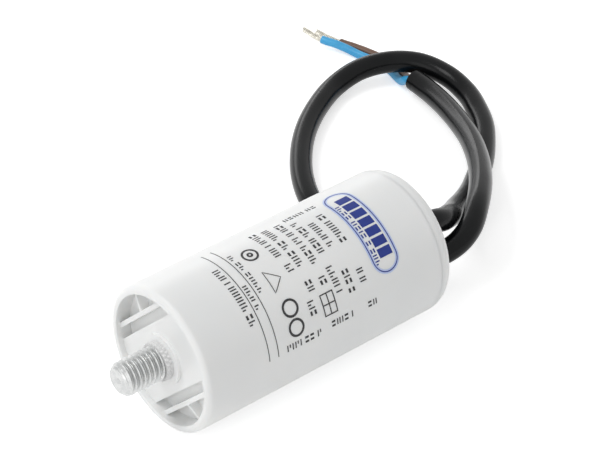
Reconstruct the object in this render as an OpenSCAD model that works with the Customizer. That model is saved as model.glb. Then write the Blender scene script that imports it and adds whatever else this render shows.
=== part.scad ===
// Motor run capacitor: a round plastic can with an M8 stud moulded into its ribbed base
// and a two-core cable leaving the middle of its lid.
// The can lies on its side along X, stud towards -X and cable towards +X, resting on Z = 0.
// Sizes are in millimetres.

/* [Can] */
// Outside diameter of the can
can_d = 35; // [30:0.5:50]
// Length of the can from its base rim to the face of its lid
can_l = 71; // [55:0.5:120]
// Thickness of the can's wall
wall = 2; // [1.8:0.1:3]
// Rounding of the base rim's outer edge
rim_round = 1.3; // [0.5:0.1:1.3]
// Rounding of the base rim's inner edge
crest_round = 0.2; // [0.1:0.1:0.3]

/* [Base] */
// Depth of the centre pad below the rim
pad_depth = 1.5; // [1.2:0.1:2.5]
// Width of the centre pad, across the ribs
pad_w = 15.8; // [13:0.1:17]
// Diameter of the round boss under the stud's collar
boss_d = 12; // [10:0.5:13]
// Height of that boss above the pad
boss_h = 0.8; // [0.3:0.1:1]
// Distance of each chord rib from the can's axis
rib_offset = 10.8; // [10:0.1:12]
// Thickness of a chord rib
rib_t = 1.1; // [0.8:0.1:1.5]
// Depth of a rib's edge below the rim
rib_depth = 1.2; // [0.5:0.1:2]
// Depth of the pockets below the rim
pocket_depth = 4; // [3.2:0.1:5]
// Thickness of the floor under the pockets
floor_t = 2.5; // [2:0.1:4]
// Thickness of the gusset in the middle of each outer pocket
gusset_t = 0.8; // [0.6:0.1:1.2]
// Depth of the gusset's edge below the rib's
gusset_drop = 0.2; // [0:0.1:0.5]
// How much deeper that edge lies at the can's wall
gusset_fall = 1; // [0:0.1:1.5]
// Turn of the rib pattern about the can's axis, in degrees
base_turn = 135; // [0:1:180]

/* [Stud] */
// Thread diameter of the stud
stud_d = 8; // [6:1:10]
// Reach of the stud beyond the rim
stud_l = 11; // [8:0.5:16]
// Chamfer at the stud's tip
stud_chamfer = 1; // [0.5:0.1:1.2]
// Depth of the centre dimple in the tip
dimple_h = 0.5; // [0.2:0.1:0.8]
// Diameter of the dimple at the tip's face
dimple_d = 1.6; // [1:0.1:2.5]
// Diameter of the dimple's flat bottom
dimple_flat = 0.2; // [0.1:0.1:0.5]
// Height of a knurl tooth above the thread
tooth_h = 0.6; // [0.3:0.1:0.9]
// Height of the valleys between the teeth above the thread
valley_h = 0.21; // [0.1:0.01:0.25]
// Number of teeth in each of the collar's two rows
teeth = 26; // [16:2:32]
// Height of one row of teeth
tooth_row = 0.8; // [0.5:0.1:1]
// Diameter of the head held in the base
head_d = 13; // [12:0.5:15]
// Thickness of that head
head_h = 2.2; // [1.5:0.1:2.6]
// Plastic of the pad over that head
head_cover = 1.2; // [0.8:0.1:1.5]

/* [Lid] */
// Height of the lid's flange
flange_h = 4; // [3.6:0.1:5]
// Rounding of the lid's outer edge
lid_round = 3.5; // [2:0.1:3.5]
// Thickness of the lid's plate
lid_t = 2.5; // [2:0.1:3]
// Wall of the lid's spigot
spigot_wall = 1.8; // [1.2:0.1:2.5]
// Reach of the spigot into the can
spigot_l = 4; // [3:0.5:6]
// Radial clearance of the spigot in the can
spigot_gap = 0.1; // [0.05:0.01:0.2]
// Diameter of the collar round the cable's hole
neck_d = 12; // [11:0.5:15]
// Height of that collar
neck_h = 1.5; // [1:0.1:4]
// Rounding of the collar's outer edge
neck_round = 0.6; // [0.2:0.1:0.8]

/* [Cable gland] */
// Diameter of the gland where it passes the lid
gland_d = 8; // [7:0.1:9]
// Radial clearance of the gland in the lid
gland_gap = 0.05; // [0.02:0.01:0.1]
// Diameter of the gland's shoulders
shoulder_d = 10; // [9.5:0.1:10.8]
// Thickness of the inner shoulder
shoulder_t = 1.3; // [1:0.1:2]
// Thickness of the outer shoulder
clip_t = 1; // [0.6:0.1:1.5]
// Length of the gland's tapered tail beyond the collar
tail_l = 4.5; // [4:0.5:10]
// Diameter of the tail's small end
tail_d = 6.8; // [6.4:0.1:8]
// Width and depth of the flexing grooves in the tail
groove = 0.5; // [0.3:0.1:0.6]
// Number of those grooves
tail_grooves = 2; // [1:1:4]

/* [Winding] */
// Gap between the winding's wrap and the can, filled with resin
resin_gap = 1.1; // [0.8:0.1:2]
// Thickness of the film wrap round the winding
wrap_t = 0.4; // [0.2:0.1:0.8]
// Wall of the tube that the film is wound on
core_wall = 1.5; // [1:0.1:2.5]
// Room beside the two conductors in that tube
core_gap = 0.25; // [0.1:0.05:0.5]
// Thickness of the sprayed metal on each end of the winding
spray_t = 0.7; // [0.5:0.1:1]
// Room between the base and the winding
foot_room = 4.5; // [4:0.1:6]
// Depth of the resin above the winding
resin_cover = 3.4; // [3:0.1:5]
// Air between the resin and the lid's spigot
air_gap = 1; // [0.5:0.1:3]

/* [Cable] */
// Outside diameter of the cable's sheath
cable_d = 5.7; // [5.2:0.1:6]
// Outside diameter of one insulated conductor
conductor_d = 2.2; // [1.8:0.1:2.2]
// Diameter of a conductor's tinned copper strands
strand_d = 1.2; // [0.9:0.1:1.4]
// Gap between the two conductors
conductor_gap = 0.1; // [0.05:0.05:0.3]
// Bend of the strands inside the can, to their centre line
strand_bend = 1.4; // [1.2:0.1:1.6]
// Distance of each solder joint from the can's axis
joint_offset = 7; // [6:0.1:9]
// Radius of a solder joint
joint_r = 1.9; // [1.6:0.1:2.2]
// Height of the strands in a solder joint, as a share of its radius
joint_share = 0.55; // [0.4:0.05:0.6]
// Bare strands between the bend on the lid side and the insulation
lid_bare = 0.5; // [0.2:0.1:1]
// Bare strands inside the foot of the winding's tube
base_bare = 1; // [0.8:0.1:2]

/* [Hidden] */

round_fn = 96;
small_fn = 48;
sheath_sides = 12;
wire_sides = 8;
eps = 0.01;
over = 1;

can_r = can_d / 2;
bore_r = can_r - wall;
stud_r = stud_d / 2;
case_l = can_l - flange_h;
floor_back = pocket_depth + floor_t;
boss_top = pad_depth - boss_h;
collar_top = boss_top - 2 * tooth_row;
head_top = pad_depth + head_cover;
neck_top = can_l + neck_h;
gland_end = neck_top + tail_l;
lid_plate = can_l - lid_t;
tail_start = neck_top + clip_t;
lid_edge = min(lid_round, flange_h);

// Stations along the winding, measured from the base rim. The film is as wide as the can allows.
foot = floor_back + foot_room;
film_foot = foot + spray_t;
resin_top = case_l - spigot_l - air_gap;
head = resin_top - resin_cover;
film_head = head - spray_t;
wrap_r = bore_r - resin_gap;
film_r = wrap_r - wrap_t;
conductor_pitch = conductor_d + conductor_gap;
core_bore_r = (conductor_pitch + conductor_d) / 2 + core_gap;
core_r = core_bore_r + core_wall;
wire_r = conductor_d / 2;
strand_r = strand_d / 2;
wire_y = conductor_pitch / 2;

// Where the strands run outwards, and where the conductors are stripped
strand_lift = joint_r * joint_share;
lid_run = head + strand_lift;
base_run = foot - strand_lift;
lid_strip = lid_run + strand_bend + lid_bare;
base_strip = foot + base_bare;

// The middle of everything but the cable stands over the origin
rim_x = -(gland_end - stud_l) / 2;

// The free cable lies beyond the lid. It leaves the gland straight, sinks to the surface, runs once
// round a long loop, passes under its own start, climbs over itself and ends inside the loop.
// Each point is the middle of the sheath, chosen for a can at its first sizes.
SHEATH_ROUTE = [
    [44, 0, 17.5], [44.8, 0, 17.5], [45.6, 0, 17.5], [47.9, 0.1, 17.1], [50.6, 0.6, 16],
    [54.1, 2.5, 14.2], [58.2, 5.3, 11.7], [62.8, 8.6, 9.3], [68, 11.9, 7], [74.2, 15.9, 4.9],
    [80.5, 20.4, 3.6], [87.4, 25.6, 3], [93.5, 31.5, 3], [98.3, 37.1, 3], [102, 43.4, 3],
    [104.8, 50.2, 3.3], [105.3, 58, 4.4], [102.6, 65.5, 5.6], [97, 71, 5.8], [89.5, 74.5, 4.8],
    [81, 74.5, 3.2], [72, 70.5, 3], [63, 64.5, 3], [55, 57, 3], [48, 48, 3], [43, 38, 3],
    [41.3, 27.5, 3], [41.1, 17.5, 3.5], [41.3, 8.5, 5.2], [43, 1.2, 7.4], [46.6, -2.6, 9.4],
    [51.3, -4.1, 11.5], [56.2, -3.1, 13.5], [62.2, 1.2, 14.3], [69.2, 7.5, 13.2],
    [75.4, 14.2, 11.6], [81, 21.3, 9.9], [86.2, 29.2, 8.3], [90.6, 37.8, 6.7], [94.3, 46.7, 5.3],
    [96.7, 54.5, 4.3], [97.5, 59.7, 4.1], [97.6, 61.1, 4.1], [97.7, 62.5, 4.1]];
BLUE_ROUTE = [
    [96.55, 62.58, 4.1], [96.58, 63, 4.1], [96.61, 63.42, 4.1], [96.75, 64.9, 3.3],
    [97.2, 66.6, 1.9], [98, 69, 1.2], [99.1, 74, 1.2], [98.9, 79, 1.2],
    [97.8, 84, 1.2], [96.6, 88, 1.8], [95.2, 91, 2.4], [94.2, 92.9, 2.6], [93.9, 93.7, 2.65],
    [93.6, 94.5, 2.7]];
BROWN_ROUTE = [
    [98.85, 62.42, 4.1], [98.88, 62.84, 4.1], [98.91, 63.26, 4.1], [99.05, 64.7, 3.2],
    [99.5, 66.4, 1.7], [100.3, 69, 1.2], [101.3, 74, 1.2], [101.2, 79, 1.2],
    [100.3, 84, 1.2], [99.2, 88, 1.2], [98.3, 90.6, 1.2], [98.1, 91.3, 1.2], [97.9, 92, 1.2]];
BLUE_TIP = [
    [93.6, 94.5, 2.7], [93.3, 95.3, 2.75], [93.1, 98.3, 2.8], [93.3, 101.6, 2.7]];
BROWN_TIP = [
    [97.9, 92, 1.2], [97.7, 92.7, 1.2], [96.9, 97, 1.2], [96.7, 100.4, 1.2]];

// ---- helpers -------------------------------------------------------------------------

// Stands a shape that was drawn along Z on the can's axis, z = 0 at the base rim
module on_axis() {
    translate([rim_x, 0, can_r]) rotate([0, 90, 0]) children();
}

// Turns a half section, radius along X and station along Y, about the can's axis
module turned() {
    rotate_extrude($fn = round_fn) children();
}

// A plain disc or cylinder between two stations
module disc(r, from, to, fn = round_fn) {
    translate([0, 0, from]) cylinder(r = r, h = to - from, $fn = fn);
}

// A washer or tube between two stations
module ring(r_out, r_in, from, to) {
    difference() {
        disc(r_out, from, to);
        disc(r_in, from - over, to + over);
    }
}

// What rounding a square corner at the origin takes away, for a corner that points to +X +Y
module corner_waste(r) {
    difference() {
        translate([-r, -r]) square(r + eps);
        translate([-r, -r]) circle(r, $fn = small_fn);
    }
}

function unit(v) = v / norm(v);

// The way a route runs at its point i
function heading(p, i) =
    unit(p[min(i + 1, len(p) - 1)] - p[max(i - 1, 0)]);

// Catmull-Rom curve between two neighbouring points
function between(p, i, t) =
    let (a = p[max(i - 1, 0)], b = p[i], c = p[i + 1], d = p[min(i + 2, len(p) - 1)])
    0.5 * (2 * b + (c - a) * t + (2 * a - 5 * b + 4 * c - d) * t * t
           + (3 * b - a - 3 * c + d) * t * t * t);

// The route with one more point halfway along each of its spans
function finer(p) = [
    for (i = [0 : len(p) - 2]) each [p[i], between(p, i, 0.5)],
    p[len(p) - 1]];

// One ring of the tube, square to the route
function tube_ring(p, i, r, sides) =
    let (h = heading(p, i), side = unit(cross(h, [0, 0, 1])), up = cross(side, h))
    [for (k = [0 : sides - 1]) p[i] + r * (cos(360 * k / sides) * side + sin(360 * k / sides) * up)];

// A closed tube swept along a route
module tube_along(p, r, sides) {
    n = len(p);
    points = [for (i = [0 : n - 1]) each tube_ring(p, i, r, sides)];
    walls = [for (i = [0 : n - 2]) for (k = [0 : sides - 1])
        let (a = i * sides + k, b = i * sides + (k + 1) % sides)
        [a, b, b + sides, a + sides]];
    start = [for (k = [sides - 1 : -1 : 0]) k];
    end = [for (k = [0 : sides - 1]) (n - 1) * sides + k];
    polyhedron(points = points, faces = concat([start], walls, [end]));
}

// ---- can and base --------------------------------------------------------------------

// The can's wall and floor, with the rim's two rounded edges
module case_section() {
    difference() {
        union() {
            translate([bore_r, 0]) square([wall, case_l]);
            translate([0, pocket_depth]) square([bore_r + eps, floor_t]);
        }
        translate([can_r, 0]) mirror([0, 1]) corner_waste(rim_round);
        translate([bore_r, 0]) mirror([1, 0]) mirror([0, 1]) corner_waste(crest_round);
    }
}

// A slab across the recess, between two stations, cut to the bore
module recess_bar(x, width, from, to) {
    intersection() {
        translate([x - width / 2, -can_r, from]) cube([width, can_d, to - from]);
        disc(bore_r + wall / 2, from, to);
    }
}

// The web from the middle of a rib out to the wall, lower at the wall
module gusset() {
    rise = rib_depth + gusset_drop;
    reach = bore_r - rib_offset + wall / 4;
    translate([rib_offset, gusset_t / 2, 0]) rotate([90, 0, 0])
        linear_extrude(gusset_t)
            polygon([[0, rise], [reach, rise + gusset_fall],
                     [reach, pocket_depth + eps], [0, pocket_depth + eps]]);
}

// The stud is moulded in, so the base closes round its head
module case() {
    color("whitesmoke") on_axis() difference() {
        union() {
            turned() case_section();
            rotate(base_turn) {
                recess_bar(0, pad_w, pad_depth, pocket_depth + eps);
                for (side = [-1, 1])
                    recess_bar(side * rib_offset, rib_t, rib_depth, pocket_depth + eps);
                gusset();
                mirror([1, 0, 0]) gusset();
            }
            disc(boss_d / 2, boss_top, pocket_depth + eps);
        }
        disc(stud_r, boss_top - over, head_top + eps);
        disc(head_d / 2, head_top, head_top + head_h);
    }
}

// ---- stud ----------------------------------------------------------------------------

// One row of the collar's knurl: a star of pointed teeth
module tooth_ring(from, turn) {
    step = 180 / teeth;
    translate([0, 0, from]) rotate(turn)
        linear_extrude(tooth_row)
            polygon([for (k = [0 : 2 * teeth - 1])
                (stud_r + (k % 2 == 0 ? tooth_h : valley_h))
                    * [cos(step * k), sin(step * k)]]);
}

module stud() {
    color("silver") on_axis() difference() {
        union() {
            turned() polygon([
                [0, -stud_l], [stud_r - stud_chamfer, -stud_l], [stud_r, -stud_l + stud_chamfer],
                [stud_r, head_top], [head_d / 2, head_top], [head_d / 2, head_top + head_h],
                [0, head_top + head_h]]);
            tooth_ring(collar_top, 0);
            tooth_ring(collar_top + tooth_row, 180 / teeth);
        }
        translate([0, 0, -stud_l - eps])
            cylinder(d1 = dimple_d, d2 = dimple_flat, h = dimple_h, $fn = small_fn);
    }
}

// ---- lid and gland -------------------------------------------------------------------

module lid_section() {
    spigot_in = bore_r - spigot_gap - spigot_wall;
    hole_r = gland_d / 2 + gland_gap;
    difference() {
        union() {
            translate([0, lid_plate]) square([can_r, lid_t]);
            translate([spigot_in, case_l]) square([can_r - spigot_in, flange_h - lid_t + eps]);
            translate([spigot_in, case_l - spigot_l]) square([spigot_wall, spigot_l + eps]);
            translate([0, can_l - eps]) square([neck_d / 2, neck_h + eps]);
        }
        translate([can_r, can_l]) corner_waste(lid_edge);
        translate([neck_d / 2, neck_top]) corner_waste(neck_round);
        translate([-over, lid_plate - over]) square([hole_r + over, lid_t + neck_h + 2 * over]);
    }
}

module lid() {
    color("white") on_axis() turned() lid_section();
}

// Moulded round the two conductors where the sheath stops, and snapped into the lid
module gland_section() {
    inner = lid_plate - shoulder_t;
    tail_run = gland_end - tail_start;
    taper = (shoulder_d - tail_d) / 2;
    difference() {
        polygon([
            [0, inner], [shoulder_d / 2, inner], [shoulder_d / 2, lid_plate],
            [gland_d / 2, lid_plate], [gland_d / 2, neck_top], [shoulder_d / 2, neck_top],
            [shoulder_d / 2, tail_start], [tail_d / 2, gland_end], [0, gland_end]]);
        for (k = [1 : tail_grooves])
            let (along = k / (tail_grooves + 1))
            translate([shoulder_d / 2 - along * taper - groove,
                       tail_start + along * tail_run - groove / 2])
                square([groove + over, groove]);
    }
}

module cable_gland() {
    color("dimgray") on_axis() difference() {
        turned() gland_section();
        for (side = [-1, 1])
            translate([0, side * wire_y, 0]) disc(wire_r, 0, gland_end + over, small_fn);
    }
}

// ---- winding -------------------------------------------------------------------------

module film_winding() {
    color("gainsboro") on_axis() ring(film_r, core_r, film_foot, film_head);
}

module winding_core() {
    color("ivory") on_axis() ring(core_r, core_bore_r, foot, head);
}

module winding_wrap() {
    color("lightyellow") on_axis() ring(wrap_r, film_r, foot, head);
}

module base_contact() {
    color("darkgray") on_axis() ring(film_r, core_r, foot, film_foot);
}

module lid_contact() {
    color("darkgray") on_axis() ring(film_r, core_r, film_head, head);
}

// ---- leads inside the can ------------------------------------------------------------

// One conductor's strands, side +1 for blue and -1 for brown. They run straight from the gland,
// turn outwards at the end of the winding and stop inside the solder joint.
module strands(side, run_z) {
    turn_z = run_z + strand_bend;
    turn_y = wire_y + strand_bend;
    mirror([0, side < 0 ? 1 : 0, 0]) {
        translate([0, wire_y, 0]) disc(strand_r, turn_z, gland_end, small_fn);
        translate([0, turn_y, turn_z]) rotate([90, 0, 90]) rotate(180)
            rotate_extrude(angle = 90, $fn = small_fn)
                translate([strand_bend, 0]) circle(strand_r, $fn = small_fn);
        translate([0, turn_y, run_z]) rotate([-90, 0, 0])
            cylinder(r = strand_r, h = joint_offset - turn_y, $fn = small_fn);
    }
}

// A bead of solder, half a ball on a sprayed contact. up is +1 on the lid end, -1 on the base end.
module bead(side, face, up) {
    intersection() {
        translate([0, side * joint_offset, face]) sphere(joint_r, $fn = small_fn);
        disc(can_r, up > 0 ? face : face - 2 * joint_r, up > 0 ? face + 2 * joint_r : face);
    }
}

// The plastic round one conductor, from where it is stripped to the end of the gland
module insulation(side, from) {
    translate([0, side * wire_y, 0]) disc(wire_r, from, gland_end, small_fn);
}

module blue_lead_strands() {
    color("darkorange") on_axis() strands(1, lid_run);
}

module brown_lead_strands() {
    color("darkorange") on_axis() strands(-1, base_run);
}

module blue_lead() {
    color("dodgerblue") on_axis() difference() {
        insulation(1, lid_strip);
        translate([0, wire_y, 0]) disc(strand_r, 0, gland_end + over, small_fn);
    }
}

module brown_lead() {
    color("saddlebrown") on_axis() difference() {
        insulation(-1, base_strip);
        translate([0, -wire_y, 0]) disc(strand_r, 0, gland_end + over, small_fn);
    }
}

module lid_solder() {
    color("lightgray") on_axis() difference() {
        bead(1, head, 1);
        strands(1, lid_run);
    }
}

module base_solder() {
    color("lightgray") on_axis() difference() {
        bead(-1, foot, -1);
        strands(-1, base_run);
    }
}

// Poured in through the open end, it fills all round the winding and covers both joints
module potting_resin() {
    color("burlywood") on_axis() difference() {
        disc(bore_r, floor_back, resin_top);
        disc(wrap_r, foot, head);
        bead(1, head, 1);
        bead(-1, foot, -1);
        strands(1, lid_run);
        strands(-1, base_run);
        insulation(1, lid_strip);
        insulation(-1, base_strip);
    }
}

// ---- cable ---------------------------------------------------------------------------

module cable_sheath() {
    color("black") tube_along(finer(SHEATH_ROUTE), cable_d / 2, sheath_sides);
}

module blue_conductor() {
    color("dodgerblue") tube_along(finer(BLUE_ROUTE), wire_r, wire_sides);
}

module brown_conductor() {
    color("saddlebrown") tube_along(finer(BROWN_ROUTE), wire_r, wire_sides);
}

module blue_strand_tip() {
    color("silver") tube_along(BLUE_TIP, strand_r, wire_sides);
}

module brown_strand_tip() {
    color("silver") tube_along(BROWN_TIP, strand_r, wire_sides);
}

case();
stud();
lid();
cable_gland();
film_winding();
winding_core();
winding_wrap();
base_contact();
lid_contact();
base_solder();
lid_solder();
brown_lead();
blue_lead();
brown_lead_strands();
blue_lead_strands();
potting_resin();
cable_sheath();
blue_conductor();
brown_conductor();
blue_strand_tip();
brown_strand_tip();
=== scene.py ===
import math

import bmesh
import bpy
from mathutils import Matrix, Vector


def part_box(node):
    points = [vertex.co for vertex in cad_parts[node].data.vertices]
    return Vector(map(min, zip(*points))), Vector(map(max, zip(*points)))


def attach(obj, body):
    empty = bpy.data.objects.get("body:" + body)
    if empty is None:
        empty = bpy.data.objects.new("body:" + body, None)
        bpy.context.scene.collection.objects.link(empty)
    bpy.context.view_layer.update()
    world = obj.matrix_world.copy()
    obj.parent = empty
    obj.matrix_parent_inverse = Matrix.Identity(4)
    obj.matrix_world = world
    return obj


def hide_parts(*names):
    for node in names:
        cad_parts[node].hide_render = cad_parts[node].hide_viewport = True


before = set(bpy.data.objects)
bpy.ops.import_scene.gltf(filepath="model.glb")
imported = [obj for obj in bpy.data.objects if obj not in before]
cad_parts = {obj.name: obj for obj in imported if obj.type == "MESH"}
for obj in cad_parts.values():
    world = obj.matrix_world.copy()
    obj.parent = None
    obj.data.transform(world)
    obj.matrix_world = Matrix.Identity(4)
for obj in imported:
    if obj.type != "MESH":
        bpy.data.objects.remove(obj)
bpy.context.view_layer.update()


# ---- Can ------------------------------------------------------------------------------
# The can is one moulding of white polypropylene, a little translucent, with a satin skin
# from a polished tool. Its base is recessed, with two ribs across it and an open rim.

MM = 0.001
case_low, case_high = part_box("case")
CAN_R = (case_high[2] - case_low[2]) / 2
AXIS_Z = CAN_R
RIM_X = case_low[0]

CAN_WHITE = (0.90, 0.905, 0.898)
CAN_SHADE = (0.855, 0.866, 0.864)
PATCH_LOW, PATCH_HIGH = 0.35, 0.65
GRAIN_HEIGHT = 0.1 * MM


def group_socket(tree, name, kind, direction="INPUT", default=None):
    """Adds a named socket to a node group's outside."""
    made = tree.interface.new_socket(name=name, in_out=direction, socket_type=kind)
    if default is not None:
        made.default_value = default
    return made


def add_node(tree, kind, **settings):
    """Adds a node: settings named like its properties are set, the rest are its inputs."""
    node = tree.nodes.new(kind)
    for name, value in settings.items():
        if hasattr(node, name):
            setattr(node, name, value)
            continue
        socket = node.inputs[name.replace("_", " ")]
        if isinstance(value, bpy.types.NodeSocket):
            tree.links.new(value, socket)
        else:
            socket.default_value = value
    return node


def calc(tree, operation, *values):
    """One Math node on numbers or sockets."""
    node = tree.nodes.new("ShaderNodeMath")
    node.operation = operation
    for socket, value in zip(node.inputs, values):
        if isinstance(value, bpy.types.NodeSocket):
            tree.links.new(value, socket)
        else:
            socket.default_value = value
    return node.outputs[0]


def mix_colours(tree, factor, first, second):
    """Mixes two colours, as sockets or numbers."""
    node = tree.nodes.new("ShaderNodeMix")
    node.data_type = "RGBA"
    for index, value in ((0, factor), (6, first), (7, second)):
        if isinstance(value, bpy.types.NodeSocket):
            tree.links.new(value, node.inputs[index])
        elif index == 0:
            node.inputs[index].default_value = value
        else:
            node.inputs[index].default_value = (*value[:3], 1.0)
    return node.outputs[2]


def surface_grain():
    """The skin that every made surface has: faint patches, uneven gloss and a fine grain."""
    tree = bpy.data.node_groups.new("surface_grain", "ShaderNodeTree")
    group_socket(tree, "Colour", "NodeSocketColor", default=(0.8, 0.8, 0.8, 1))
    group_socket(tree, "Patch Colour", "NodeSocketColor", default=(0.7, 0.7, 0.7, 1))
    group_socket(tree, "Patch Size", "NodeSocketFloat", default=0.01)
    group_socket(tree, "Grain Size", "NodeSocketFloat", default=0.0003)
    group_socket(tree, "Grain Depth", "NodeSocketFloat", default=0.1)
    group_socket(tree, "Roughness", "NodeSocketFloat", default=0.4)
    group_socket(tree, "Roughness Spread", "NodeSocketFloat", default=0.1)
    group_socket(tree, "Colour", "NodeSocketColor", "OUTPUT")
    group_socket(tree, "Roughness", "NodeSocketFloat", "OUTPUT")
    group_socket(tree, "Normal", "NodeSocketVector", "OUTPUT")
    given = tree.nodes.new("NodeGroupInput").outputs
    place = tree.nodes.new("ShaderNodeTexCoord").outputs["Object"]
    patches = add_node(tree, "ShaderNodeTexNoise", Vector=place, Detail=3.0,
                       Scale=calc(tree, "DIVIDE", 1.0, given["Patch Size"]))
    grain = add_node(tree, "ShaderNodeTexNoise", Vector=place, Detail=2.0,
                     Scale=calc(tree, "DIVIDE", 1.0, given["Grain Size"]))
    contrast = add_node(tree, "ShaderNodeMapRange", Value=patches.outputs["Fac"],
                        From_Min=PATCH_LOW, From_Max=PATCH_HIGH)
    spread = calc(tree, "SUBTRACT", patches.outputs["Fac"], 0.5)
    bump = add_node(tree, "ShaderNodeBump", Height=grain.outputs["Fac"],
                    Strength=given["Grain Depth"], Distance=GRAIN_HEIGHT)
    out = tree.nodes.new("NodeGroupOutput").inputs
    tree.links.new(mix_colours(tree, contrast.outputs["Result"],
                               given["Colour"], given["Patch Colour"]), out["Colour"])
    tree.links.new(calc(tree, "ADD", given["Roughness"],
                        calc(tree, "MULTIPLY", spread, given["Roughness Spread"])),
                   out["Roughness"])
    tree.links.new(bump.outputs["Normal"], out["Normal"])
    return tree


SURFACE_GRAIN = surface_grain()


def new_material(name):
    """An empty node material with its Principled shader."""
    material = bpy.data.materials.new(name)
    material.use_nodes = True
    return material, material.node_tree, material.node_tree.nodes["Principled BSDF"]


def place_grain(tree, colour, patch, patch_size, grain_size, depth, roughness, spread):
    """Places the grain group in a material with that material's own values."""
    group = tree.nodes.new("ShaderNodeGroup")
    group.node_tree = SURFACE_GRAIN
    for name, value in (("Colour", (*colour, 1)), ("Patch Colour", (*patch, 1)),
                        ("Patch Size", patch_size), ("Grain Size", grain_size),
                        ("Grain Depth", depth), ("Roughness", roughness),
                        ("Roughness Spread", spread)):
        group.inputs[name].default_value = value
    return group.outputs


def grained(name, colour, patch, patch_size=0.02, grain_size=0.0003, depth=0.1,
            roughness=0.4, spread=0.15, metallic=0.0):
    """A whole material from the grain group: plastic, resin or plain metal."""
    material, tree, shader = new_material(name)
    skin = place_grain(tree, colour, patch, patch_size, grain_size, depth, roughness, spread)
    tree.links.new(skin["Colour"], shader.inputs["Base Color"])
    tree.links.new(skin["Roughness"], shader.inputs["Roughness"])
    tree.links.new(skin["Normal"], shader.inputs["Normal"])
    shader.inputs["Metallic"].default_value = metallic
    return material


def finish_node(node, material):
    """Gives a CAD node its material."""
    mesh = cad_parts[node].data
    mesh.materials.clear()
    mesh.materials.append(material)


can_white = grained("can_white_polypropylene", CAN_WHITE, CAN_SHADE, patch_size=0.03,
                    grain_size=0.00025, depth=0.05, roughness=0.36, spread=0.12)
can_shader = can_white.node_tree.nodes["Principled BSDF"].inputs
can_shader["Subsurface Weight"].default_value = 0.5
can_shader["Subsurface Radius"].default_value = (1.0, 0.95, 0.9)
can_shader["Subsurface Scale"].default_value = 0.001
finish_node("case", can_white)


# ---- Stud -----------------------------------------------------------------------------
# The stud is turned from steel, threaded M8 coarse, knurled where it leaves the base and
# zinc plated bright. Its head is moulded into the base, so only the shank and some of the
# knurling show.

STUD_TIP_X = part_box("stud")[0][0]
THREAD_R = 4.0 * MM
THREAD_ROOT_R = 3.35 * MM
THREAD_PITCH = 1.25 * MM
STUD_OUT = 10.1 * MM
TIP_CHAMFER = 1.0 * MM
TIP_DISH = 0.35 * MM
TIP_DISH_R = 1.1 * MM
SHANK_SEAT = 0.25 * MM
THREAD_SIDES = 72
THREAD_ROWS = 200
# Shares of half a pitch that are flat at the root and at the crest
ROOT_FLAT, CREST_FLAT = 0.16, 0.14
# Points nearer than this are one
WELD = 0.002 * MM
CAD_WELD = 0.001 * MM
# Painted shade in the thread roots starts this far below the crests and this far behind the
# tip
ROOT_SHADE_BELOW = 0.15 * MM
ROOT_SHADE_STARTS = 0.6 * MM
# The painted shade's grey, its largest share, and the roughness it adds
ROOT_SHADE_GREY = (0.24, 0.24, 0.235)
ROOT_SHADE_MOST = 0.2
ROOT_SHADE_ROUGHENS = 0.2


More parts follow.
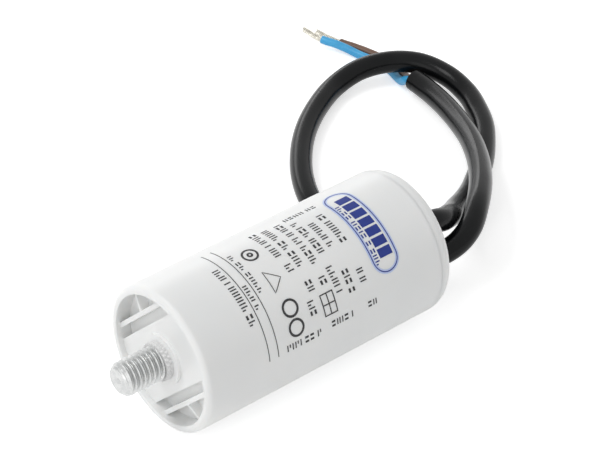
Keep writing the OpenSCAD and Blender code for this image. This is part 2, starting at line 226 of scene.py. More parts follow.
def thread_tree():
    """A shank along X from the tip at Tip X: end face, chamfer, then the helical thread."""
    tree = bpy.data.node_groups.new("threaded_shank", "GeometryNodeTree")
    group_socket(tree, "Geometry", "NodeSocketGeometry")
    for name in ("Tip X", "Axis Height", "Length", "Crest Radius", "Root Radius", "Pitch",
                 "Chamfer", "Dish Depth", "Dish Radius"):
        group_socket(tree, name, "NodeSocketFloat")
    group_socket(tree, "Finish", "NodeSocketMaterial")
    group_socket(tree, "Geometry", "NodeSocketGeometry", "OUTPUT")
    given = tree.nodes.new("NodeGroupInput").outputs
    face_r = calc(tree, "SUBTRACT", given["Crest Radius"], given["Chamfer"])
    run = calc(tree, "ADD", given["Length"], face_r)
    grid = add_node(tree, "GeometryNodeMeshGrid", Size_X=run, Size_Y=2 * math.pi,
                    Vertices_X=THREAD_ROWS, Vertices_Y=THREAD_SIDES + 1)
    flat = add_node(tree, "ShaderNodeSeparateXYZ",
                    Vector=tree.nodes.new("GeometryNodeInputPosition").outputs[0]).outputs
    station = calc(tree, "SUBTRACT",
                   calc(tree, "ADD", flat["X"], calc(tree, "MULTIPLY", run, 0.5)), face_r)
    turn = calc(tree, "DIVIDE", flat["Y"], 2 * math.pi)
    phase = calc(tree, "FRACT", calc(tree, "SUBTRACT",
                 calc(tree, "DIVIDE", station, given["Pitch"]), turn))
    wave = calc(tree, "ABSOLUTE",
                calc(tree, "SUBTRACT", calc(tree, "MULTIPLY", phase, 2.0), 1.0))
    flank = add_node(tree, "ShaderNodeMapRange", Value=wave,
                     From_Min=ROOT_FLAT, From_Max=1 - CREST_FLAT)
    depth = calc(tree, "SUBTRACT", given["Crest Radius"], given["Root Radius"])
    thread_r = calc(tree, "ADD", given["Root Radius"],
                    calc(tree, "MULTIPLY", depth, flank.outputs["Result"]))
    slope_r = calc(tree, "MAXIMUM", calc(tree, "ADD", face_r, station), 0.0)
    radius = calc(tree, "MINIMUM", thread_r, slope_r)
    dish = add_node(tree, "ShaderNodeMapRange", interpolation_type="SMOOTHSTEP", Value=slope_r,
                    From_Min=0.0, From_Max=given["Dish Radius"],
                    To_Min=given["Dish Depth"], To_Max=0.0)
    along = calc(tree, "ADD", given["Tip X"],
                 calc(tree, "ADD", calc(tree, "MAXIMUM", station, 0.0),
                      dish.outputs["Result"]))
    place = add_node(tree, "ShaderNodeCombineXYZ", X=along,
                     Y=calc(tree, "MULTIPLY", radius, calc(tree, "SINE", flat["Y"])),
                     Z=calc(tree, "ADD", given["Axis Height"],
                            calc(tree, "MULTIPLY", radius, calc(tree, "COSINE", flat["Y"]))))
    moved = add_node(tree, "GeometryNodeSetPosition", Geometry=grid.outputs["Mesh"],
                     Position=place.outputs[0])
    closed = add_node(tree, "GeometryNodeMergeByDistance", Geometry=moved.outputs[0],
                      Distance=WELD)
    real = add_node(tree, "GeometryNodeRealizeInstances", Geometry=closed.outputs[0])
    painted = add_node(tree, "GeometryNodeSetMaterial", Geometry=real.outputs[0],
                       Material=given["Finish"])
    out = tree.nodes.new("NodeGroupOutput").inputs
    tree.links.new(painted.outputs[0], out["Geometry"])
    return tree


def new_piece(name, vertices=(), faces=()):
    """A mesh object at the origin, its place in its mesh."""
    mesh = bpy.data.meshes.new(name)
    mesh.from_pydata([tuple(v) for v in vertices], [], faces)
    piece = bpy.data.objects.new(name, mesh)
    bpy.context.scene.collection.objects.link(piece)
    return piece


def run_tree(piece, tree, **values):
    """Runs a Geometry Nodes tree on a piece and keeps the result as its plain mesh."""
    modifier = piece.modifiers.new(tree.name, "NODES")
    modifier.node_group = tree
    for item in tree.interface.items_tree:
        key = item.name.replace(" ", "_")
        if item.in_out == "INPUT" and key in values:
            modifier[item.identifier] = values[key]
    graph = bpy.context.evaluated_depsgraph_get()
    mesh = bpy.data.meshes.new_from_object(piece.evaluated_get(graph))
    piece.modifiers.remove(modifier)
    piece.data = mesh
    return piece


def plated_steel_finish():
    """Bright zinc, a little patchy, with painted shade darkening it down in the thread roots.
    """
    material, tree, shader = new_material("bright_zinc_plate")
    skin = place_grain(tree, (0.58, 0.585, 0.58), (0.50, 0.51, 0.51), patch_size=0.0016,
                       grain_size=0.00012, depth=0.25, roughness=0.27, spread=0.25)
    place = add_node(tree, "ShaderNodeTexCoord").outputs["Object"]
    centred = add_node(tree, "ShaderNodeMapping", Vector=place)
    centred.inputs["Location"].default_value = (0, 0, -AXIS_Z)
    axes = add_node(tree, "ShaderNodeSeparateXYZ", Vector=centred.outputs[0]).outputs
    square = calc(tree, "ADD", calc(tree, "MULTIPLY", axes["Y"], axes["Y"]),
                  calc(tree, "MULTIPLY", axes["Z"], axes["Z"]))
    from_axis = calc(tree, "SQRT", square)
    deep = add_node(tree, "ShaderNodeMapRange", Value=from_axis,
                    From_Min=THREAD_R - ROOT_SHADE_BELOW, From_Max=THREAD_ROOT_R,
                    To_Min=0.0, To_Max=ROOT_SHADE_MOST)
    behind_tip = add_node(tree, "ShaderNodeMapRange", Value=axes["X"],
                          From_Min=STUD_TIP_X + ROOT_SHADE_STARTS,
                          From_Max=STUD_TIP_X + TIP_CHAMFER)
    # Painted shade: the colour turns grey and the surface rougher towards the thread roots
    root_shade = calc(tree, "MULTIPLY", deep.outputs["Result"], behind_tip.outputs["Result"])
    colour = mix_colours(tree, root_shade, skin["Colour"], ROOT_SHADE_GREY)
    tree.links.new(colour, shader.inputs["Base Color"])
    tree.links.new(calc(tree, "ADD", skin["Roughness"],
                        calc(tree, "MULTIPLY", root_shade, ROOT_SHADE_ROUGHENS)),
                   shader.inputs["Roughness"])
    tree.links.new(skin["Normal"], shader.inputs["Normal"])
    shader.inputs["Metallic"].default_value = 1.0
    return material


zinc_plate = plated_steel_finish()
stud = run_tree(new_piece("threaded_stud"), thread_tree(),
                Tip_X=STUD_TIP_X, Axis_Height=AXIS_Z, Length=STUD_OUT + SHANK_SEAT,
                Crest_Radius=THREAD_R, Root_Radius=THREAD_ROOT_R, Pitch=THREAD_PITCH,
                Chamfer=TIP_CHAMFER, Dish_Depth=TIP_DISH, Dish_Radius=TIP_DISH_R,
                Finish=zinc_plate)


def add_collar_and_head(piece):
    """Joins the CAD stud's knurled collar and moulded-in head to the threaded shank."""
    shank = bmesh.new()
    shank.from_mesh(piece.data)
    bmesh.ops.holes_fill(shank, edges=[e for e in shank.edges if e.is_boundary], sides=0)
    bmesh.ops.recalc_face_normals(shank, faces=shank.faces)
    rest = bmesh.new()
    rest.from_mesh(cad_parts["stud"].data)
    bmesh.ops.remove_doubles(rest, verts=rest.verts, dist=CAD_WELD)
    bmesh.ops.bisect_plane(rest, geom=rest.verts[:] + rest.edges[:] + rest.faces[:],
                           plane_co=(STUD_TIP_X + STUD_OUT, 0, 0), plane_no=(-1, 0, 0),
                           clear_outer=True, dist=CAD_WELD / 10)
    bmesh.ops.holes_fill(rest, edges=[e for e in rest.edges if e.is_boundary], sides=0)
    spare = bpy.data.meshes.new("spare")
    rest.to_mesh(spare)
    for face in shank.faces:
        face.smooth = True
    shank.from_mesh(spare)
    shank.to_mesh(piece.data)
    shank.free()
    rest.free()
    bpy.data.meshes.remove(spare)


add_collar_and_head(stud)
BODY = "root"
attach(stud, BODY)
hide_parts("stud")


# ---- Winding --------------------------------------------------------------------------
# Metallised film is wound on a plastic tube and wrapped. Zinc is sprayed on both ends, and
# each end has a lead soldered to it. All of it is sealed inside the can.

finish_node("film_winding",
            grained("metallised_film", (0.60, 0.60, 0.58), (0.50, 0.50, 0.49),
                    patch_size=0.004, grain_size=0.0001, depth=0.2, roughness=0.3,
                    spread=0.2, metallic=0.6))
finish_node("winding_core",
            grained("core_tube_plastic", (0.78, 0.78, 0.74), (0.72, 0.72, 0.68),
                    roughness=0.5))
finish_node("winding_wrap",
            grained("wrap_film", (0.72, 0.68, 0.54), (0.66, 0.62, 0.49), roughness=0.3))
sprayed_zinc = grained("sprayed_zinc", (0.48, 0.48, 0.47), (0.36, 0.36, 0.36),
                       patch_size=0.002, grain_size=0.0002, depth=0.7, roughness=0.6,
                       spread=0.2, metallic=0.8)
solder = grained("solder", (0.62, 0.62, 0.61), (0.52, 0.52, 0.52), patch_size=0.002,
                 grain_size=0.0004, depth=0.3, roughness=0.3, spread=0.2, metallic=1.0)
for end in ("base", "lid"):
    finish_node(end + "_contact", sprayed_zinc)
    finish_node(end + "_solder", solder)
finish_node("potting_resin",
            grained("potting_resin", (0.66, 0.55, 0.36), (0.60, 0.49, 0.31),
                    patch_size=0.012, grain_size=0.0005, depth=0.1, roughness=0.35,
                    spread=0.2))


# ---- Lid and gland --------------------------------------------------------------------
# The lid is moulded from the can's plastic and welded on. The gland is black PVC, moulded
# round the conductors where the sheath stops and snapped into the lid's collar.

finish_node("lid", can_white)
finish_node("cable_gland",
            grained("gland_pvc", (0.020, 0.021, 0.022), (0.014, 0.014, 0.015),
                    patch_size=0.004, grain_size=0.0002, depth=0.2, roughness=0.5,
                    spread=0.15))


# ---- Cable ----------------------------------------------------------------------------
# The cable is a round two-core flex with a black satin PVC sheath. It leaves the gland
# straight, lies in a long loop over itself and ends cut square with both cores free.

SHEATH_D = 5.7 * MM
SHEATH_SIDES = 32
SHEATH_STEPS = 8
SHEATH_END_ROUND = 0.25 * MM
# The raised mark: how often, how far shifted and how long it is, and where round the sheath
MARK_EVERY = 100 * MM
MARK_SHIFT = 20 * MM
MARK_RUN = 18 * MM
MARK_TURN, MARK_HALF_TURN = 0.73, 0.05
TICK_PITCH = 1.6 * MM
TICK_GAP = 0.45
SHEATH_ROUTE = [
    (44, 0, 17.5), (44.8, 0, 17.5), (45.6, 0, 17.5), (47.9, 0.1, 17.1), (50.6, 0.6, 16),
    (54.1, 2.5, 14.2), (58.2, 5.3, 11.7), (62.8, 8.6, 9.3), (68, 11.9, 7), (74.2, 15.9, 4.9),
    (80.5, 20.4, 3.6), (87.4, 25.6, 3), (93.5, 31.5, 3), (98.3, 37.1, 3), (102, 43.4, 3),
    (104.8, 50.2, 3.3), (105.3, 58, 4.4), (102.6, 65.5, 5.6), (97, 71, 5.8),
    (89.5, 74.5, 4.8), (81, 74.5, 3.2), (72, 70.5, 3), (63, 64.5, 3), (55, 57, 3),
    (48, 48, 3), (43, 38, 3), (41.3, 27.5, 3), (41.1, 17.5, 3.5), (41.3, 8.5, 5.2),
    (43, 1.2, 7.4), (46.6, -2.6, 9.4), (51.3, -4.1, 11.5), (56.2, -3.1, 13.5),
    (62.2, 1.2, 14.3), (69.2, 7.5, 13.2), (75.4, 14.2, 11.6), (81, 21.3, 9.9),
    (86.2, 29.2, 8.3), (90.6, 37.8, 6.7), (94.3, 46.7, 5.3), (96.7, 54.5, 4.3),
    (97.5, 59.7, 4.1), (97.6, 61.1, 4.1), (97.7, 62.5, 4.1)]


def smooth_path(route, steps):
    """A Catmull-Rom curve through a route in millimetres, as points in metres."""
    points = [Vector(p) * MM for p in route]
    path = []
    for i in range(len(points) - 1):
        a, b = points[max(i - 1, 0)], points[i]
        c, d = points[i + 1], points[min(i + 2, len(points) - 1)]
        for k in range(steps):
            t = k / steps
            path.append(0.5 * (2 * b + (c - a) * t + (2 * a - 5 * b + 4 * c - d) * t * t
                               + (3 * b - a - 3 * c + d) * t ** 3))
    path.append(points[-1])
    return path


def path_frames(path):
    """A side and an up direction at each point, carried along without twisting."""
    headings = [(path[min(i + 1, len(path) - 1)] - path[max(i - 1, 0)]).normalized()
                for i in range(len(path))]
    side = headings[0].cross(Vector((0, 0, 1))).normalized()
    frames = []
    for heading in headings:
        side = (side - heading * side.dot(heading)).normalized()
        frames.append((side, heading.cross(side)))
    return frames


def path_length(path):
    """The length of a path, straight from point to point."""
    return sum((b - a).length for a, b in zip(path, path[1:]))


def tube(name, path, radius, sides, end_round):
    """A closed tube with softened ends. U runs along it in metres, V once round it."""
    frames = path_frames(path)
    rings = [(path[0], frames[0], 1 - end_round / radius)]
    rings += [(p, f, 1.0) for p, f in zip(path, frames)]
    rings.append((path[-1], frames[-1], 1 - end_round / radius))
    inward = end_round / path_length(path[:2]) if end_round else 0
    rings[1] = (path[0].lerp(path[1], min(inward, 0.5)), frames[0], 1.0)
    inward = end_round / path_length(path[-2:]) if end_round else 0
    rings[-2] = (path[-1].lerp(path[-2], min(inward, 0.5)), frames[-1], 1.0)
    vertices, faces, along = [], [], [0.0]
    for i, (middle, (side, up), share) in enumerate(rings):
        for k in range(sides):
            angle = 2 * math.pi * k / sides
            vertices.append(middle + radius * share * (math.cos(angle) * side
                                                       + math.sin(angle) * up))
        if i:
            along.append(along[-1] + (middle - rings[i - 1][0]).length)
    for i in range(len(rings) - 1):
        for k in range(sides):
            low, high = i * sides, (i + 1) * sides
            faces.append((low + k, low + (k + 1) % sides, high + (k + 1) % sides, high + k))
    last = (len(rings) - 1) * sides
    faces.append(tuple(range(sides - 1, -1, -1)))
    faces.append(tuple(last + k for k in range(sides)))
    piece = new_piece(name, vertices, faces)
    layer = piece.data.uv_layers.new(name="length_and_turn").data
    for face in piece.data.polygons:
        on_side = len(face.vertices) == 4
        face.use_smooth = on_side
        meets_seam = on_side and face.vertices[0] % sides == sides - 1
        for loop in face.loop_indices:
            ring, k = divmod(piece.data.loops[loop].vertex_index, sides)
            layer[loop].uv = (along[ring], 1.0 if meets_seam and k == 0 else k / sides)
    return piece


def sheath_finish():
    """Satin PVC: drawn lines along the sheath, dull patches from handling, a raised mark
    of short bars every so often where makers emboss the sheath."""
    material, tree, shader = new_material("sheath_pvc_black")
    skin = place_grain(tree, (0.004, 0.0045, 0.005), (0.007, 0.0076, 0.0082),
                       patch_size=0.009, grain_size=0.00035, depth=0.2, roughness=0.2,
                       spread=0.1)
    uv = add_node(tree, "ShaderNodeUVMap", uv_map="length_and_turn").outputs["UV"]
    along = add_node(tree, "ShaderNodeSeparateXYZ", Vector=uv).outputs
    stretched = add_node(tree, "ShaderNodeMapping", Vector=uv)
    stretched.inputs["Scale"].default_value = (30, 60, 1)
    lines = add_node(tree, "ShaderNodeTexNoise", Vector=stretched.outputs[0], Scale=1.0,
                     Detail=2.0)
    shifted = calc(tree, "ADD", along["X"], MARK_SHIFT)
    spaced = calc(tree, "MULTIPLY",
                  calc(tree, "FRACT", calc(tree, "DIVIDE", shifted, MARK_EVERY)), MARK_EVERY)
    here = calc(tree, "MULTIPLY", calc(tree, "LESS_THAN", spaced, MARK_RUN),
                calc(tree, "COMPARE", along["Y"], MARK_TURN, MARK_HALF_TURN))
    ticks = calc(tree, "GREATER_THAN",
                 calc(tree, "FRACT", calc(tree, "DIVIDE", spaced, TICK_PITCH)), TICK_GAP)
    marks = calc(tree, "MULTIPLY", here, ticks)
    height = calc(tree, "ADD", calc(tree, "MULTIPLY", lines.outputs["Fac"], 0.25),
                  calc(tree, "MULTIPLY", marks, 0.6))
    bump = add_node(tree, "ShaderNodeBump", Height=height, Normal=skin["Normal"],
                    Strength=0.35, Distance=0.00012)
    tree.links.new(skin["Colour"], shader.inputs["Base Color"])
    tree.links.new(skin["Roughness"], shader.inputs["Roughness"])
    tree.links.new(bump.outputs["Normal"], shader.inputs["Normal"])
    shader.inputs["Specular IOR Level"].default_value = 0.16
    return material


sheath_path = smooth_path(SHEATH_ROUTE, SHEATH_STEPS)
sheath = tube("cable_sheath_flex", sheath_path, SHEATH_D / 2, SHEATH_SIDES,
              SHEATH_END_ROUND)
sheath.data.materials.append(sheath_finish())
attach(sheath, BODY)
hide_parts("cable_sheath")


# ---- Cores ----------------------------------------------------------------------------
# Each core is a bunch of tinned copper strands in blue or brown PVC. Both come out of the
# cut sheath, pass under the loop and have their ends stripped and twisted.

CORE_D = 2.2 * MM
CORE_SIDES = 20
CORE_STEPS = 6
CORE_END_ROUND = 0.12 * MM
HEART_D = 0.84 * MM
HEART_SIDES = 12
HEART_END_ROUND = 0.2 * MM
STRAND_D = 0.36 * MM
STRAND_SIDES = 10
STRAND_STEPS = 12
STRAND_END_ROUND = 0.08 * MM
STRAND_SINK = 0.03 * MM
STRAND_TWIST = 11.0 * MM
STRAND_COUNT = 9
BLUE_ROUTE = [
    (96.55, 62.58, 4.1), (96.58, 63, 4.1), (96.61, 63.42, 4.1), (96.75, 64.9, 3.3),
    (97.2, 66.6, 1.9), (98, 69, 1.2), (99.1, 74, 1.2), (98.9, 79, 1.2), (97.8, 84, 1.2),
    (96.6, 88, 1.8), (95.2, 91, 2.4), (94.2, 92.9, 2.6), (93.9, 93.7, 2.65), (93.6, 94.5, 2.7)]
BROWN_ROUTE = [
    (98.85, 62.42, 4.1), (98.88, 62.84, 4.1), (98.91, 63.26, 4.1), (99.05, 64.7, 3.2),
    (99.5, 66.4, 1.7), (100.3, 69, 1.2), (101.3, 74, 1.2), (101.2, 79, 1.2),
    (100.3, 84, 1.2), (99.2, 88, 1.2), (98.3, 90.6, 1.2), (98.1, 91.3, 1.2), (97.9, 92, 1.2)]
BLUE_TIP = [(93.6, 94.5, 2.7), (93.3, 95.3, 2.75), (93.1, 98.3, 2.8), (93.3, 101.6, 2.7)]
BROWN_TIP = [(97.9, 92, 1.2), (97.7, 92.7, 1.2), (96.9, 97, 1.2), (96.7, 100.4, 1.2)]


def strand_bunch(name, path):
    """Strands laid round the solid heart of the bunch and twisted, not all equally long."""
    frames = path_frames(path)
    out = (HEART_D + STRAND_D) / 2 - STRAND_SINK
    parts = [tube("heart", path[:-2], HEART_D / 2, HEART_SIDES, HEART_END_ROUND)]
    for number in range(STRAND_COUNT):
        line, run = [], 0.0
        for i, (point, (side, up)) in enumerate(zip(path, frames)):
            run += (point - path[i - 1]).length if i else 0.0
            angle = 2 * math.pi * (number / STRAND_COUNT + run / STRAND_TWIST)
            line.append(point + out * (math.cos(angle) * side + math.sin(angle) * up))
        parts.append(tube("strand", line[:len(line) - number % 3], STRAND_D / 2,
                          STRAND_SIDES, STRAND_END_ROUND))
    whole = bmesh.new()
    for part in parts:
        mesh = part.data
        whole.from_mesh(mesh)
        bpy.data.objects.remove(part)
        bpy.data.meshes.remove(mesh)
    piece = new_piece(name)
    whole.to_mesh(piece.data)
    whole.free()
    return piece


tinned_copper = grained("tinned_copper", (0.70, 0.68, 0.61), (0.52, 0.50, 0.44),
                        patch_size=0.0012, grain_size=0.00015, depth=0.2, roughness=0.32,
                        spread=0.2, metallic=1.0)
core_pvc = {
    "blue": grained("core_pvc_blue", (0.060, 0.44, 0.80), (0.045, 0.38, 0.73),
                    patch_size=0.003, grain_size=0.0002, depth=0.1, roughness=0.38,
                    spread=0.15),
    "brown": grained("core_pvc_brown", (0.17, 0.085, 0.05), (0.13, 0.065, 0.04),
                     patch_size=0.003, grain_size=0.0002, depth=0.1, roughness=0.4,
                     spread=0.15),
}
for colour, route, tip_route in (("blue", BLUE_ROUTE, BLUE_TIP),
                                 ("brown", BROWN_ROUTE, BROWN_TIP)):
    core_path = smooth_path(route, CORE_STEPS)
    core = tube(colour + "_core", core_path, CORE_D / 2, CORE_SIDES, CORE_END_ROUND)
    core.data.materials.append(core_pvc[colour])
    tip = strand_bunch(colour + "_core_strands", smooth_path(tip_route, STRAND_STEPS))
    tip.data.materials.append(tinned_copper)
    for piece, node, slot in ((core, colour + "_conductor", "wire_" + colour),
                              (tip, colour + "_strand_tip", "tinned_strand")):
        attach(piece, BODY)
        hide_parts(node)
    finish_node(colour + "_lead", core_pvc[colour])
    finish_node(colour + "_lead_strands", tinned_copper)


# ---- Print ----------------------------------------------------------------------------
# The marking is one pass of black and one of blue ink, printed round the can. Here it is
# plain rules, bars and outlines, drawn flat and then wrapped round the can's wall.

INK_OVER = 0.016 * MM
INK_UNDER = 0.03 * MM
INK_STEP = 0.5 * MM
HALF_TURN_STEPS = 16
CIRCLE_STEPS = 40


def wrap_tree():
    """Wraps a flat drawing round the can: X along it, Y round it from the top, Z outwards."""
    tree = bpy.data.node_groups.new("wrapped_print", "GeometryNodeTree")
    group_socket(tree, "Geometry", "NodeSocketGeometry")
    group_socket(tree, "Can Radius", "NodeSocketFloat")
    group_socket(tree, "Axis Height", "NodeSocketFloat")
    group_socket(tree, "Finish", "NodeSocketMaterial")
    group_socket(tree, "Geometry", "NodeSocketGeometry", "OUTPUT")
    given = tree.nodes.new("NodeGroupInput").outputs
    flat = add_node(tree, "ShaderNodeSeparateXYZ",
                    Vector=tree.nodes.new("GeometryNodeInputPosition").outputs[0]).outputs
    angle = calc(tree, "DIVIDE", flat["Y"], given["Can Radius"])
    radius = calc(tree, "ADD", given["Can Radius"], flat["Z"])
    place = add_node(tree, "ShaderNodeCombineXYZ", X=flat["X"],
                     Y=calc(tree, "MULTIPLY", calc(tree, "MULTIPLY", radius, -1.0),
                            calc(tree, "SINE", angle)),
                     Z=calc(tree, "ADD", given["Axis Height"],
                            calc(tree, "MULTIPLY", radius, calc(tree, "COSINE", angle))))
    moved = add_node(tree, "GeometryNodeSetPosition", Geometry=given["Geometry"],
                     Position=place.outputs[0])
    real = add_node(tree, "GeometryNodeRealizeInstances", Geometry=moved.outputs[0])
    painted = add_node(tree, "GeometryNodeSetMaterial", Geometry=real.outputs[0],
                       Material=given["Finish"])
    out = tree.nodes.new("NodeGroupOutput").inputs
    tree.links.new(painted.outputs[0], out["Geometry"])
    return tree


def strip(pairs, closed=False):
    """A thin slab between two edges, given as pairs of flat points along it."""
    vertices, faces = [], []
    for left, right in pairs:
        for x, y in (left, right):
            vertices += [(x, y, -INK_UNDER), (x, y, INK_OVER)]
    count = len(pairs)
    for i in range(count if closed else count - 1):
        a, b = 4 * i, 4 * ((i + 1) % count)
        faces += [(a + 1, a + 3, b + 3, b + 1), (a, b, b + 2, a + 2),
                  (a, a + 1, b + 1, b), (a + 2, b + 2, b + 3, a + 3)]
    if not closed:
        faces += [(0, 2, 3, 1), (4 * count - 4, 4 * count - 3, 4 * count - 1, 4 * count - 2)]
    return vertices, faces


def plate(x0, x1, y0, y1):
    """A rectangle of ink, cut often enough round the can to lie on it."""
    count = max(2, int((y1 - y0) / INK_STEP) + 2)
    ys = [y0 + (y1 - y0) * i / (count - 1) for i in range(count)]
    return strip([((x0, y), (x1, y)) for y in ys])


def outline(points, width):
    """A closed line of that width along points that go once round."""
    count = len(points)
    pairs = []
    for i, (x, y) in enumerate(points):
        ax, ay = points[i - 1]
        bx, by = points[(i + 1) % count]
        length = math.hypot(bx - ax, by - ay)
        nx, ny = (by - ay) / length * width / 2, -(bx - ax) / length * width / 2
        pairs.append(((x - nx, y - ny), (x + nx, y + ny)))
    return strip(pairs, closed=True)


def stadium(x, y0, y1, width):
    """The points of a long rounded outline round the can."""
    half, straight = width / 2, y1 - y0 - width
    steps = max(2, int(straight / MM))
    turns = [math.pi * k / HALF_TURN_STEPS for k in range(HALF_TURN_STEPS)]
    points = [(x - half, y0 + half + straight * i / steps) for i in range(steps)]
    points += [(x - half * math.cos(a), y1 - half + half * math.sin(a)) for a in turns]
    points += [(x + half, y1 - half - straight * i / steps) for i in range(steps)]
    points += [(x + half * math.cos(a), y0 + half - half * math.sin(a)) for a in turns]
    return points


def arc(degrees):
    """Length round the can from its top for an angle towards the front."""
    return CAN_R * math.radians(degrees)


def mark_row(start, end, height, stroke, seed):
    """Plain bars and half bars in uneven groups, as (from, to, low, high) along a row."""
    pair_width, pair_gap, group_gap, split = 3.2 * stroke, 1.5 * stroke, 3.4 * stroke, 0.35
    marks, at, number, tall = [], start, seed, height / 2
    while at < end - pair_width:
        number = (number * 37 + 11) % 101
        wide = at + pair_width
        if number % 4 == 0:
            marks.append((at, at + stroke, -tall, tall))
            wide = at + stroke
        elif number % 4 == 1:
            marks += [(at, at + stroke, -tall, tall), (wide - stroke, wide, -tall, tall)]
        elif number % 4 == 2:
            marks += [(at, wide, split * tall, tall), (at, wide, -tall, -split * tall)]
        else:
            marks += [(at, at + stroke, -tall, tall), (wide - stroke, wide, -tall, 0)]
        at = wide + (group_gap if number % 5 == 0 else pair_gap)
    return marks


def row_round(x, start, end, height, stroke, seed):
    """A row of marks round the can, between two angles."""
    return [plate(x + low, x + high, y0, y1)
            for y0, y1, low, high in mark_row(arc(start), arc(end), height, stroke, seed)]


def row_along(x0, x1, degrees, height, stroke, seed):
    """A row of marks along the can, at one angle."""
    return [plate(a, b, arc(degrees) + low, arc(degrees) + high)
            for a, b, low, high in mark_row(x0, x1, height, stroke, seed)]


def printed(name, parts, material, lift=1.0):
    """Joins the flat parts, wraps them and puts them on the can, lift times as high."""
    vertices, faces = [], []
    for part_vertices, part_faces in parts:
        faces += [tuple(i + len(vertices) for i in face) for face in part_faces]
        vertices += [(x, y, z * lift if z > 0 else z) for x, y, z in part_vertices]
    piece = new_piece(name, vertices, faces)
    run_tree(piece, WRAP, Can_Radius=CAN_R, Axis_Height=AXIS_Z, Finish=material)
    mesh = bmesh.new()
    mesh.from_mesh(piece.data)
    bmesh.ops.recalc_face_normals(mesh, faces=mesh.faces)
    mesh.to_mesh(piece.data)
    mesh.free()
    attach(piece, BODY)
    return piece


WRAP = wrap_tree()
ink_black = grained("ink_black", (0.012, 0.012, 0.014), (0.025, 0.025, 0.028),
                    patch_size=0.002, grain_size=0.0002, depth=0.15, roughness=0.55,
                    spread=0.1)
ink_blue = grained("ink_blue", (0.004, 0.022, 0.21), (0.007, 0.030, 0.25),
                   patch_size=0.002, grain_size=0.0002, depth=0.15, roughness=0.55,
                   spread=0.1)
ink_pale_blue = grained("ink_pale_blue", (0.52, 0.61, 0.88), (0.57, 0.65, 0.89),
                        patch_size=0.002, grain_size=0.0002, depth=0.1, roughness=0.45,
                        spread=0.1)

# Stations are in mm along the can from its base rim, angles in degrees from its top
# towards the front.
RULE_STATIONS, RULE_FROM, RULE_TO, RULE_W = (16.8, 19.3), -20, 84, 0.2 * MM
rules = [plate(RIM_X + station * MM - RULE_W / 2, RIM_X + station * MM + RULE_W / 2,
               arc(RULE_FROM), arc(RULE_TO)) for station in RULE_STATIONS]

TYPE, SMALL_TYPE, STROKE = 1.7 * MM, 1.1 * MM, 0.31 * MM
ROWS_ROUND = [  # station, from angle, to angle, height, seed
    (45.4, -1, 31, TYPE, 1), (45.2, 51, 67, TYPE, 2), (42.0, 3, 30, TYPE, 3),
    (41.6, 47, 69, TYPE, 4), (39.0, -5, 30, TYPE, 5), (38.4, 40, 63, TYPE, 6),
    (36.0, -12, 36, TYPE, 7), (35.6, 44, 50, TYPE, 8), (32.6, -13, 34, TYPE, 9),
    (32.0, 42, 52, TYPE, 10), (29.6, -15, 18, TYPE, 11), (29.9, 25, 37, TYPE, 12),
    (30.4, 56, 70, TYPE, 19), (20.6, -4, 35, SMALL_TYPE, 13),
    (17.9, 25, 45, SMALL_TYPE, 21), (15.1, 3, 54, TYPE, 14)]
ROWS_ALONG = [  # from station, to station, angle, height in mm, seed
    (38.4, 48.2, -13, 1.2, 15), (34.5, 41.5, 80, 1.5, 16), (45.0, 48.4, 79.5, 1.4, 17),
    (21.8, 31.7, 81.5, 1.6, 18)]
rows = []
for station, start, end, height, seed in ROWS_ROUND:
    rows += row_round(RIM_X + station * MM, start, end, height, STROKE, seed)
for x0, x1, degrees, height, seed in ROWS_ALONG:
    rows += row_along(RIM_X + x0 * MM, RIM_X + x1 * MM, degrees, height * MM, STROKE, seed)


def circle(station, degrees, radius):
    """The points of a circle on the can, its radius in mm."""
    turns = [2 * math.pi * k / CIRCLE_STEPS for k in range(CIRCLE_STEPS)]
    return [(RIM_X + station * MM + radius * MM * math.cos(a),
             arc(degrees) + radius * MM * math.sin(a)) for a in turns]


RING_AT, RING_W = (24.6, 4), 0.5 * MM
CIRCLES_AT, CIRCLE_R, CIRCLE_W = ((25.2, 54), (25.2, 69)), 1.85, 0.55 * MM
TRIANGLE, TRIANGLE_W, SIDE_STEPS = [(23.6, 22), (23.6, 40), (26.8, 31)], 0.2 * MM, 8
GRID_STATIONS, GRID_ANGLES, GRID_HALF_W = (33.2, 34.9, 36.6), (56, 64, 72), 0.14
marks = [outline(circle(*RING_AT, radius), RING_W) for radius in (1.75, 0.5)]
marks += [outline(circle(*place, CIRCLE_R), CIRCLE_W) for place in CIRCLES_AT]
marks.append(outline(
    [(RIM_X + (a + (c - a) * k / SIDE_STEPS) * MM, arc(b + (d - b) * k / SIDE_STEPS))
     for (a, b), (c, d) in zip(TRIANGLE, TRIANGLE[1:] + TRIANGLE[:1])
     for k in range(SIDE_STEPS)], TRIANGLE_W))
for station in GRID_STATIONS:
    marks.append(plate(RIM_X + (station - GRID_HALF_W) * MM,
                       RIM_X + (station + GRID_HALF_W) * MM,
                       arc(GRID_ANGLES[0]), arc(GRID_ANGLES[-1])))
for degrees in GRID_ANGLES:
    marks.append(plate(RIM_X + (GRID_STATIONS[0] - GRID_HALF_W) * MM,
                       RIM_X + (GRID_STATIONS[-1] + GRID_HALF_W) * MM,
                       arc(degrees) - GRID_HALF_W * MM, arc(degrees) + GRID_HALF_W * MM))
printed("printed_rules", rules, ink_black)
printed("printed_rows", rows, ink_black)
printed("printed_marks", marks, ink_black)

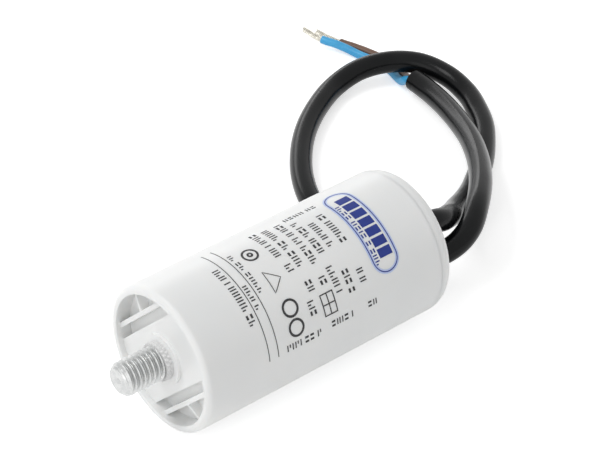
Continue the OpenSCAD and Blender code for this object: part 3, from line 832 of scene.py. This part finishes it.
BADGE_X = RIM_X + 52.6 * MM
BADGE_W = 6.6 * MM
BADGE_FROM, BADGE_TO = -16, 63
BADGE_LINE_W, HALO_W = 0.28 * MM, 1.0 * MM
BLOCKS, BLOCKS_FROM, BLOCK_W, BLOCK_GAP = 7, -7, 2.1 * MM, 0.55 * MM
BLOCK_LOW, BLOCK_HIGH = -1.2 * MM, 2.4 * MM
rim_line = stadium(BADGE_X, arc(BADGE_FROM), arc(BADGE_TO), BADGE_W)
badge = [outline(rim_line, BADGE_LINE_W)]
for k in range(BLOCKS):
    start = arc(BLOCKS_FROM) + k * (BLOCK_W + BLOCK_GAP)
    badge.append(plate(BADGE_X + BLOCK_LOW, BADGE_X + BLOCK_HIGH, start, start + BLOCK_W))
badge += row_round(BADGE_X - 2.2 * MM, 0, 56, 1.15 * MM, 0.3 * MM, 20)
printed("printed_badge", badge, ink_blue)
printed("printed_halo", [outline(rim_line, HALO_W)], ink_pale_blue, lift=0.5)


# ---- Floor, light and camera ----------------------------------------------------------
# The object lies on a white table in a white room. A soft lamp stands over its back left,
# a large one at its front left lights the base, and a long panel behind it draws the
# highlights on the cable.

TABLE_HALF = 3.0
TABLE_GLOW = 0.55
ROOM_LIGHT = 0.56
AIM = Vector((22.4, 18.6, 17.5)) * MM


def looked_at(tree):
    """1 for rays from the camera, a reflection or a clear material, 0 for light."""
    rays = tree.nodes.new("ShaderNodeLightPath").outputs
    return calc(tree, "MAXIMUM", rays["Is Camera Ray"],
                calc(tree, "MAXIMUM", rays["Is Glossy Ray"], rays["Is Transmission Ray"]))


def white_stage_material():
    """White where the camera or a reflection looks at it, and it still takes a shadow."""
    material, tree, shader = new_material("white_table")
    shader.inputs["Base Color"].default_value = (0.9, 0.9, 0.9, 1)
    shader.inputs["Roughness"].default_value = 1.0
    shader.inputs["Specular IOR Level"].default_value = 0.0
    shader.inputs["Emission Color"].default_value = (1, 1, 1, 1)
    tree.links.new(calc(tree, "MULTIPLY", looked_at(tree), TABLE_GLOW),
                   shader.inputs["Emission Strength"])
    return material


table = new_piece("table", [(-TABLE_HALF, -TABLE_HALF, 0), (TABLE_HALF, -TABLE_HALF, 0),
                            (TABLE_HALF, TABLE_HALF, 0), (-TABLE_HALF, TABLE_HALF, 0)],
                  [(0, 1, 2, 3)])
table.data.materials.append(white_stage_material())

scene = bpy.context.scene
scene.view_settings.view_transform = "Standard"
world = bpy.data.worlds.new("white_room")
scene.world = world
world.use_nodes = True
sky = world.node_tree
backdrop = sky.nodes["Background"]
backdrop.inputs["Color"].default_value = (1, 1, 1, 1)
extra = calc(sky, "MULTIPLY", looked_at(sky), 1 - ROOM_LIGHT)
sky.links.new(calc(sky, "ADD", ROOM_LIGHT, extra), backdrop.inputs["Strength"])


def soft_lamp(name, place, width, height, power):
    """A rectangular area lamp that faces the object and isn't seen itself."""
    lamp = bpy.data.lights.new(name, "AREA")
    lamp.shape = "RECTANGLE"
    lamp.size = width
    lamp.size_y = height
    lamp.energy = power
    holder = bpy.data.objects.new(name, lamp)
    holder.location = AIM + Vector(place)
    holder.rotation_euler = Vector(place).to_track_quat("Z", "Y").to_euler()
    holder.visible_camera = False
    scene.collection.objects.link(holder)


soft_lamp("soft_key", (-0.42, 0.30, 0.85), 0.4, 0.4, 2.7)
soft_lamp("left_panel", (-0.85, -0.28, 0.36), 0.8, 0.6, 1.4)
soft_lamp("back_panel", (0.28, 1.00, 0.30), 0.9, 0.2, 1.6)

CAMERA_AZIMUTH = math.radians(-39.967)
CAMERA_RISE = math.radians(36.064)
CAMERA_DISTANCE = 0.6245
LENS_MM = 162.28
SENSOR_MM = 36.0
towards = Vector((-math.sin(CAMERA_AZIMUTH) * math.cos(CAMERA_RISE),
                  math.cos(CAMERA_AZIMUTH) * math.cos(CAMERA_RISE), -math.sin(CAMERA_RISE)))
camera_data = bpy.data.cameras.new("camera")
camera_data.lens = LENS_MM
camera_data.sensor_width = SENSOR_MM
camera_data.clip_start = 0.01
camera = bpy.data.objects.new("camera", camera_data)
camera.location = AIM - towards * CAMERA_DISTANCE
camera.rotation_euler = towards.to_track_quat("-Z", "Y").to_euler()
scene.collection.objects.link(camera)
scene.camera = camera
